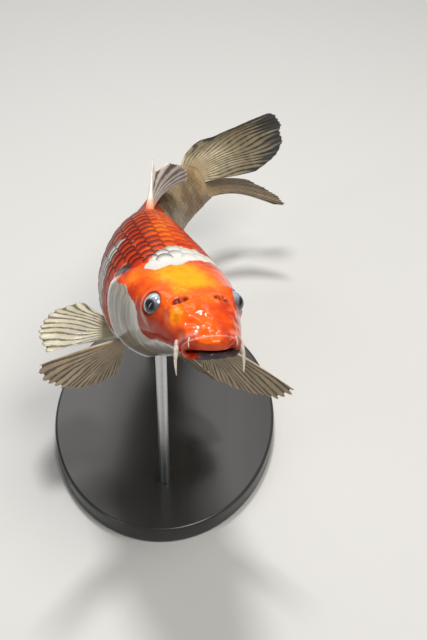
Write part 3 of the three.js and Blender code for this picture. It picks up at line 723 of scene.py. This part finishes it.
scale_paint, nodes, links, shader = new_material("koi_scales")
colour, white = koi_colour(nodes, links, 0.9)
tinted = mix_colour(nodes, links, map_range(nodes, links, read_field(nodes, "tint"), 0.0, 1.0, 0.05, 0.45),
                    colour, (0.36, 0.018, 0.003))
colour = mix_colour(nodes, links, white, tinted, colour)
across = math_node(nodes, links, "ABSOLUTE", read_field(nodes, "side"))
free = read_field(nodes, "free")
# Painted shade: each scale darkens towards its root, where the scale before overlaps it, more where the net is
# dark, and not on the first rows at the nape.
shaded = mix_colour(nodes, links, white, (0.22, 0.012, 0.004), (0.30, 0.28, 0.25))
under = math_node(nodes, links, "MULTIPLY", map_range(nodes, links, free, 0.25, 0.66, 1.0, 0.0),
                  map_range(nodes, links, read_field(nodes, "net_and_shade"), 0.2, 0.9, 0.25, 0.85))
under = math_node(nodes, links, "MULTIPLY", under, read_field(nodes, "deep"))
colour = mix_colour(nodes, links, under, colour, shaded)
# The scales' free edges and sides are darkened: partly the net of darker rims, partly painted shadow at the
# edges.
edge = math_node(nodes, links, "MAXIMUM", map_range(nodes, links, free, 0.52, 0.97),
                 map_range(nodes, links, across, 0.5, 0.98, 0.0, 0.85))
edge = math_node(nodes, links, "MULTIPLY", edge,
                 map_range(nodes, links, read_field(nodes, "net_and_shade"), 0.1, 0.95, 0.12, 0.96))
edge = math_node(nodes, links, "MULTIPLY", edge, map_range(nodes, links, white, 0.0, 1.0, 1.0, 0.95))
edge_tone = mix_colour(nodes, links, white, (0.045, 0.007, 0.004), (0.08, 0.075, 0.07))
colour = mix_colour(nodes, links, edge, colour, edge_tone)
links.new(colour, shader.inputs["Base Color"])
shader.inputs["Roughness"].default_value = 0.3
shader.inputs["Specular IOR Level"].default_value = 0.06
shader.inputs["Coat Weight"].default_value = 0.3
shader.inputs["Coat Roughness"].default_value = 0.07
bump = nodes.new("ShaderNodeBump")
bump.inputs["Strength"].default_value = 0.3
bump.inputs["Distance"].default_value = 0.0005
links.new(noise(nodes, links, 420.0, 3.0), bump.inputs["Height"])
links.new(bump.outputs["Normal"], shader.inputs["Normal"])
links.new(bump.outputs["Normal"], shader.inputs["Coat Normal"])
shader.inputs["Coat IOR"].default_value = 1.38
scales_mesh.materials.append(scale_paint)
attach(scales, "root")

# -------------------------------------------------------------------- the eyes
# Lidless balls with a silver-blue iris, darker on its lower, outer side as painted
# shade, and a black, slightly domed pupil that looks out and forward. Each
# replaces its plain ball in the frame.
EYE_RINGS, EYE_TURNS = 60, 64
for hand, side in ((1, "left"), (-1, "right")):
    centre = place(EYE_STATION, hand * EYE_LATERAL, EYE_HEIGHT)
    forward, left, up = axes_at(np.array(EYE_STATION))
    gaze = 0.80 * hand * left + 0.18 * up + 0.57 * forward
    gaze /= np.linalg.norm(gaze)
    sideways = np.cross(gaze, up)
    sideways /= np.linalg.norm(sideways)
    upright = np.cross(sideways, gaze)
    away = np.linspace(0.004, math.pi - 0.004, EYE_RINGS)[:, None]
    about = (np.arange(EYE_TURNS) * 2 * math.pi / EYE_TURNS)[None]
    arc = away * EYE_RADIUS
    radius = EYE_RADIUS - 0.25 + 0.45 * hump(arc, 4.4) - 0.12 * hump(arc - 5.2, 0.7)
    ball = centre + radius[..., None] * (
        np.cos(away)[..., None] * gaze
        + np.sin(away)[..., None] * (np.cos(about)[..., None] * sideways + np.sin(about)[..., None] * upright))
    eye = grid_mesh("koi_eye_" + side, ball, True)
    set_field(eye, "arc", arc + 0 * about, True)
    set_field(eye, "about", np.sin(away) * (0.8 * np.sin(about) - 0.6 * hand * np.cos(about)), True)
    close_up(eye, 0.000002)
    if side == "left":
        eye_paint, nodes, links, shader = new_material("koi_eye")
        arc_field = math_node(nodes, links, "ADD", read_field(nodes, "arc"),
                              map_range(nodes, links, noise(nodes, links, 700.0, 2.0), 0.3, 0.7, -0.2, 0.2))
        silver = mix_colour(nodes, links, map_range(nodes, links, noise(nodes, links, 260.0, 4.0), 0.35, 0.7),
                            (0.46, 0.52, 0.58), (0.24, 0.29, 0.34))
        # Painted shade: the iris darkens on its lower, outer side.
        silver = mix_colour(nodes, links,
                            map_range(nodes, links, read_field(nodes, "about"), -0.5, 0.8, 0.9, 0.0),
                            silver, (0.07, 0.075, 0.085))
        colour = mix_colour(nodes, links, map_range(nodes, links, arc_field, 3.9, 5.6),
                            (0.035, 0.036, 0.042), silver)
        colour = mix_colour(nodes, links, map_range(nodes, links, arc_field, 3.4, 4.0),
                            (0.002, 0.002, 0.003), colour)
        links.new(colour, shader.inputs["Base Color"])
        shader.inputs["Roughness"].default_value = 0.12
        shader.inputs["Coat Weight"].default_value = 1.0
        shader.inputs["Coat Roughness"].default_value = 0.02
    eye.data.materials.append(eye_paint)
    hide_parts("eye_" + side)
    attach(eye, "root")

# ----------------------------------------------------------------- the barbels
# Soft feelers that taper to a point: a long pair hangs from the folds at the
# mouth's corners and a short pair sits on the upper lip before them. Each is
# rooted as deep under the body's bare line as the lip or fold there asks.
def feeler(name, node, s, hand, above, length, droop, thick, depth):
    turn = math.radians(above if hand > 0 else 180 - above)
    forward, left, up = axes_at(np.array(float(s)))
    outward = hand * left
    start = place(s, *section(np.array(float(s)), turn, -depth))
    t = np.linspace(0, 1, 36)[:, None]
    curve = (start + outward * length * (0.28 * t - 0.3 * t ** 3 + 0.12 * t ** 4)
             - up * length * droop * t ** 1.3 + forward * length * 0.35 * t)
    heading_along = np.gradient(curve, axis=0)
    heading_along /= np.linalg.norm(heading_along, axis=-1, keepdims=True)
    first = np.cross(heading_along, forward)
    first /= np.linalg.norm(first, axis=-1, keepdims=True)
    second = np.cross(heading_along, first)
    thickness = thick * (1 - t) ** 0.9 * (1 + 0.04 * np.sin(t * 60)) + 0.3
    turns = (np.arange(20) * 2 * math.pi / 20)[None, :, None]
    tube = (curve[:, None]
            + thickness[:, None] * (np.cos(turns) * first[:, None] + np.sin(turns) * second[:, None]))
    piece = grid_mesh(name, tube, True)
    set_field(piece, "out", t + 0 * turns[..., 0], True)
    close_up(piece, 0.000001)
    piece.data.materials.append(feeler_paint)
    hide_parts(node)
    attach(piece, "root")

feeler_paint, nodes, links, shader = new_material("feeler_flesh")
colour = mix_colour(nodes, links, map_range(nodes, links, noise(nodes, links, 300.0, 3.0), 0.35, 0.7),
                    (0.70, 0.62, 0.54), (0.52, 0.40, 0.32))
colour = mix_colour(nodes, links,
                    map_range(nodes, links, read_field(nodes, "out"), 0.0, 0.25, 0.6, 0.0), colour,
                    (0.75, 0.42, 0.33))
links.new(colour, shader.inputs["Base Color"])
shader.inputs["Roughness"].default_value = 0.35
shader.inputs["Coat Weight"].default_value = 0.5
shader.inputs["Subsurface Weight"].default_value = 0.2
shader.inputs["Subsurface Radius"].default_value = (0.002, 0.001, 0.0008)
for hand, side in ((1, "left"), (-1, "right")):
    feeler("koi_barbel_rear_" + side, f"barbel_{side}_rear", 12, hand, -14, 20, 0.95, 1.8, 1.0)
    feeler("koi_barbel_front_" + side, f"barbel_{side}_front", 5, hand, 8, 7, 0.7, 0.4, 3.4)

# -------------------------------------------------------------------- the fins
# Thin webs stretched over bony rays, which fork twice on their way out. Each
# fin grows out of the flesh, thick at its root and filmy at its edge.
FIN_ROOT = 4.0
RAY_COLUMNS = 16                             # grid columns from one ray to the next

def fin(name, node, at, rays, rows, seed, scallop, ray_width, forked, sway, paint, spine=0.0):
    v = np.linspace(0, 1, RAY_COLUMNS * (rays - 1) + 1)[None]
    t = np.linspace(0, 1, rows)[:, None]
    phase = v * (rays - 1)
    swung = phase + sway * smooth(0.1, 0.5, t) * np.sin(7.5 * t + 0.7 * phase + seed)
    ray = 0 * swung
    for fork in (-1, 1):
        near = swung + forked * fork * smooth(0.4, 0.9, t)
        ray = np.maximum(ray, hump(near - np.round(near), ray_width * (1 - 0.3 * t)) * (1 - 0.2 * t))
    ray = np.maximum(ray, (spine > 0) * smooth(0.55, 0.36, phase) * (1 - 0.2 * t))
    strand = 4 * swung - np.round(4 * swung)
    strand = 1 - (1 - hump(strand, 0.24)) * smooth(0.22, 0.5, t)
    wobble = np.random.default_rng(seed)
    edge_noise = np.interp(phase, np.arange(rays), wobble.uniform(-1, 1, rays))
    reach = t * (1 - scallop * t * (1 - ray) - 0.012 * t * (1 - strand) + 0.015 * t * edge_noise)
    tiny = 1e-3
    middle = at(v + 0 * t, reach)
    across = at(np.minimum(v + tiny, 1) + 0 * t, reach) - at(np.maximum(v - tiny, 0) + 0 * t, reach)
    normal = np.cross(across, at(v + 0 * t, reach + tiny) - middle)
    normal /= np.linalg.norm(normal, axis=-1, keepdims=True)
    joints = 1 + 0.12 * np.sin(t * 150 + phase * 0.7) * smooth(0.15, 0.3, t)
    half = 0.5 * ((1.5 - 1.2 * t ** 0.7) + (ray + 0.45 * strand) * joints * (1.15 - 0.7 * t))
    half = half * (1 + spine * hump(phase, 0.6) * (1 - t))
    closing = [np.clip(x, 0, 1) ** 0.5
               for x in ((rays - 1) * 5 * v, (rays - 1) * 5 * (1 - v), 30 * t, 35 * (1 - t))]
    half = half * np.minimum.reduce(np.broadcast_arrays(*closing))
    wave = 0.5 * np.sin(phase * 1.9 + seed) * t ** 2
    front = middle + normal * (half + wave)[..., None]
    rear = middle + normal * (wave - half)[..., None]
    piece = grid_mesh(name, np.concatenate([front, rear[:, ::-1]], 1), True)
    for field, values in (("ray", ray), ("strand", strand), ("out", t), ("across", v), ("number", phase)):
        sheet = values + 0 * half
        set_field(piece, field, np.concatenate([sheet, sheet[:, ::-1]], 1), True)
    close_up(piece, 0.000002)
    piece.data.materials.append(paint)
    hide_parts(node)
    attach(piece, "root")

def fin_material(name, ray_colour, web_colour, root_colour, tip_colour,
                 root_reach, tip_start, ray_hold, inner=0.0):
    paint, nodes, links, shader = new_material(name)
    ray, out = read_field(nodes, "ray"), read_field(nodes, "out")
    mottle = noise(nodes, links, 180.0, 3.0)
    strand = map_range(nodes, links, read_field(nodes, "strand"), 0.0, 0.8, 0.28, 0.0)
    streak = math_node(nodes, links, "ADD", ray, map_range(nodes, links, mottle, 0.3, 0.7, -0.14, 0.14))
    shade = mix_colour(nodes, links,
                       map_range(nodes, links, noise(nodes, links, 70.0, 3.0), 0.35, 0.65, 0.0, 0.3),
                       ray_colour, web_colour)
    shade = mix_colour(nodes, links, strand, shade, web_colour)
    colour = mix_colour(nodes, links, map_range(nodes, links, streak, 0.1, 0.65, 0.03, 1.0), web_colour, shade)
    stepped = chart_noise(nodes, links, math_node(nodes, links, "MULTIPLY", read_field(nodes, "number"), 0.9),
                          math_node(nodes, links, "MULTIPLY", out, 1.5), 2.0)
    wander = math_node(nodes, links, "ADD", out, map_range(nodes, links, stepped, 0.3, 0.7, -0.12, 0.12))
    wander = math_node(nodes, links, "SUBTRACT", wander, math_node(nodes, links, "MULTIPLY", ray, ray_hold))
    colour = mix_colour(nodes, links, map_range(nodes, links, wander, tip_start, tip_start + 0.22, 0.0, 0.9),
                        colour, tip_colour)
    colour = mix_colour(nodes, links,
                        map_range(nodes, links, read_field(nodes, "across"), 0.3, 0.62, inner, 0.0),
                        colour, web_colour)
    colour = mix_colour(nodes, links, map_range(nodes, links, out, 0.02, root_reach, 0.95, 0.0),
                        colour, root_colour)
    links.new(colour, shader.inputs["Base Color"])
    shader.inputs["Roughness"].default_value = 0.38
    shader.inputs["Specular IOR Level"].default_value = 0.3
    shader.inputs["Coat Weight"].default_value = 0.2
    shader.inputs["Coat Roughness"].default_value = 0.15
    return paint

# One fin paint in two copies: a lighter one with painted light for the right pelvic fin, and a darker one with
# painted shade for the pectorals, the left pelvic and the anal fin.
CREAM_IN_SHADE = (0.54, 0.43, 0.29)
shaded_fin = fin_material("shaded_fin", CREAM_IN_SHADE, (0.11, 0.075, 0.045), (0.40, 0.29, 0.19),
    (0.34, 0.25, 0.14), 0.62, 0.95, 0.1)
lit_fin = fin_material("lit_fin", (0.66, 0.60, 0.42), (0.08, 0.07, 0.045), (0.62, 0.52, 0.36),
                          (0.5, 0.45, 0.3), 0.4, 0.95, 0.1)
back_fin = fin_material("back_fin", (0.86, 0.77, 0.68), (0.10, 0.065, 0.05), (0.84, 0.18, 0.01),
    (0.42, 0.33, 0.29), 0.38, 0.95, 0.1)
tail_fin = fin_material("tail_fin", (0.48, 0.40, 0.25), (0.065, 0.05, 0.03), (0.36, 0.26, 0.15),
    (0.03, 0.035, 0.038), 0.3, 0.60, 0.22)
low_fin = fin_material("low_fin", (0.32, 0.23, 0.125), (0.065, 0.045, 0.025), (0.34, 0.24, 0.13),
    (0.07, 0.07, 0.06), 0.22, 0.9, 0.2, 0.8)

def median_fin(start, end, side, curl, shape):
    length, lean, tilt, bow = (follow(shape, k) for k in (1, 2, 3, 4))
    def at(v, t):
        s = start + (end - start) * v
        root = back(s) if side > 0 else belly(s)
        reach = (length(v) + FIN_ROOT) * t
        slant, aside = np.radians(lean(v) + curl * t), np.radians(tilt(v) + bow(v) * t)
        rise = reach * np.cos(slant)
        return place(s + reach * np.sin(slant), rise * np.sin(aside),
                     side * (root - FIN_ROOT + rise * np.cos(aside)))
    return at

fin("koi_dorsal_fin", "dorsal_fin",
    median_fin(197, 342, 1, 8, [(0, 46, 24, 0, 0), (0.035, 36, 25, -1, 6), (0.11, 47, 25, 0, 20),
                                (0.24, 50, 27, 4, 31), (0.5, 44, 32, 13, 38), (1, 34, 40, 30, 32)]),
    12, 44, 3, 0.05, 0.36, 0.0, 0.0, back_fin, 1.6)
fin("koi_anal_fin", "anal_fin",
    median_fin(318, 354, -1, 10, [(0, 44, 30, 0, 0), (0.25, 46, 37, 0, 0), (1, 24, 58, 0, 0)]),
    9, 36, 4, 0.07, 0.2, 0.15, 0.0, shaded_fin)

TAIL_ROOT = 10.0
def tail_lobe(side, lengths, tilt, bow):
    length, slant_at, curl, start = (follow(lengths, k) for k in (1, 2, 3, 4))
    def at(v, t):
        slant = np.radians(slant_at(v) - curl(v) * t)
        reach = (length(v) + TAIL_ROOT) * t
        spread, aside = reach * np.sin(slant), np.radians(tilt + bow * t)
        return place(BODY_END - TAIL_ROOT - start(v) + reach * np.cos(slant), side * spread * np.sin(aside),
                     side * (0.8 + 14.5 * v + spread * np.cos(aside)))
    return at

# For each share of the way out from the fork: length, slant, curl and how far forward the ray starts.
fin("koi_tail_upper", "tail_fin_upper",
    tail_lobe(1, [(0, 58, -7, 0, 0), (0.12, 77, 0, 0, 0), (0.3, 88, 7, 0, 0), (0.52, 92, 16, 0, 0),
                  (0.66, 94, 21.5, 0, 0),
                  (0.77, 89, 26.5, 1, 1), (0.86, 58, 31, 4, 3), (0.92, 37, 40, 9, 5),
                  (1, 24, 60, 20, 8)], 10, 28),
    18, 76, 5, 0.012, 0.46, 0.0, 0.5, tail_fin)
fin("koi_tail_lower", "tail_fin_lower",
    tail_lobe(-1, [(0, 44, 19, 0, 0), (0.3, 60, 21.5, 0, 0), (0.7, 80, 24.5, 0, 0), (0.9, 84, 26.5, 0, 0),
                   (1, 70, 27, 0, 0)], -65, 9), 14, 64, 6, 0.03, 0.27, 0.0, 0.25, low_fin)

def paired_fin(hand, s, above, base, leading, trailing, camber, lengths):
    length = follow(lengths, 1)
    forward, left, up = axes_at(np.array(float(s)))
    basis = np.array([hand * left, forward, up])
    first, last = (np.array(ray) @ basis for ray in (leading, trailing))
    first, last = first / np.linalg.norm(first), last / np.linalg.norm(last)
    turn = np.cross(first, last)
    turn /= np.linalg.norm(turn)
    aside = np.cross(turn, first)
    sweep = math.acos(float(np.clip(first @ last, -1, 1)))
    around = math.radians(above if hand > 0 else 180 - above)
    def at(v, t):
        root_s = s + base * v
        root = place(root_s, *section(root_s, around, -FIN_ROOT))
        bearing = np.cos(sweep * v)[..., None] * first + np.sin(sweep * v)[..., None] * aside
        reach = ((length(v) + FIN_ROOT) * t)[..., None]
        return root + bearing * reach + turn * camber * reach * t[..., None]
    return at

PECTORAL = [(0, 78), (0.15, 69), (0.3, 56), (0.5, 45), (1, 26)]
PELVIC = [(0, 56), (0.3, 60), (0.7, 52), (1, 40)]
fin("koi_pectoral_right", "pectoral_fin_right",
    paired_fin(-1, 111, -47, 11, (0.89, 0.46, -0.03), (0.1, -0.35, -0.7), 0.1, PECTORAL),
    18, 52, 7, 0.06, 0.40, 0.06, 0.2, shaded_fin)
fin("koi_pectoral_left", "pectoral_fin_left",
    paired_fin(1, 111, -47, 11, (0.64, 0.68, -0.24), (0.25, -0.35, -0.75), -0.1, PECTORAL),
    18, 52, 8, 0.06, 0.40, 0.06, 0.2, shaded_fin)
fin("koi_pelvic_right", "pelvic_fin_right",
    paired_fin(-1, 203, -62, 13, (0.95, 0.2, -0.2), (0.75, -0.6, 0.5), 0.05, PELVIC),
    11, 46, 9, 0.04, 0.42, 0.05, 0.3, lit_fin)
fin("koi_pelvic_left", "pelvic_fin_left",
    paired_fin(1, 203, -62, 13, (0.75, -0.2, -0.5), (0.35, -0.85, -0.35), -0.05, PELVIC),
    12, 46, 10, 0.04, 0.33, 0.1, 0.2, shaded_fin)

# ------------------------------------------------------------------- the stand
# A plain oval board lacquered satin black, its rims rounded over, carries two
# brushed steel rods, cut to fit the belly. The rods are the frame's own solids.
BOARD = (0.088, 0.125, 0.014)                # half width, half length, thickness, in metres
BOARD_ROUNDING = 0.0022
bpy.ops.mesh.primitive_cylinder_add(vertices=144, radius=1, depth=1, location=(0, 0, BOARD[2] / 2))
board = bpy.context.object
board.name = "stand_board"
board.scale = BOARD
bpy.ops.object.transform_apply(location=True, rotation=False, scale=True)
rounding = board.modifiers.new("rounding", "BEVEL")
rounding.width = BOARD_ROUNDING
rounding.segments = 4
rounding.limit_method = "ANGLE"
rounding.angle_limit = math.radians(60)
bpy.ops.object.modifier_apply(modifier="rounding")
for face in board.data.polygons:
    face.use_smooth = abs(face.normal.z) < 0.999
lacquer, nodes, links, shader = new_material("satin_black_lacquer")
grain = noise(nodes, links, 14.0, 6.0, 0.6, (1.0, 0.12, 1.0))
colour = mix_colour(nodes, links, map_range(nodes, links, grain, 0.35, 0.65),
                    (0.014, 0.013, 0.013), (0.026, 0.024, 0.022))
links.new(colour, shader.inputs["Base Color"])
shader.inputs["Roughness"].default_value = 0.34
shader.inputs["Coat Weight"].default_value = 0.25
shader.inputs["Coat Roughness"].default_value = 0.2
steel, nodes, links, shader = new_material("brushed_steel")
brush = noise(nodes, links, 900.0, 2.0, 0.5, (0.15, 0.15, 6.0))
colour = mix_colour(nodes, links, map_range(nodes, links, brush, 0.35, 0.65),
                    (0.50, 0.51, 0.53), (0.62, 0.63, 0.64))
links.new(colour, shader.inputs["Base Color"])
shader.inputs["Metallic"].default_value = 1.0
shader.inputs["Roughness"].default_value = 0.32
board.data.materials.append(lacquer)
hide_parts("stand_base")
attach(board, "root")
for node_name in ("stand_rod_front", "stand_rod_rear"):
    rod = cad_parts[node_name]
    rod.data.materials.clear()
    rod.data.materials.append(steel)
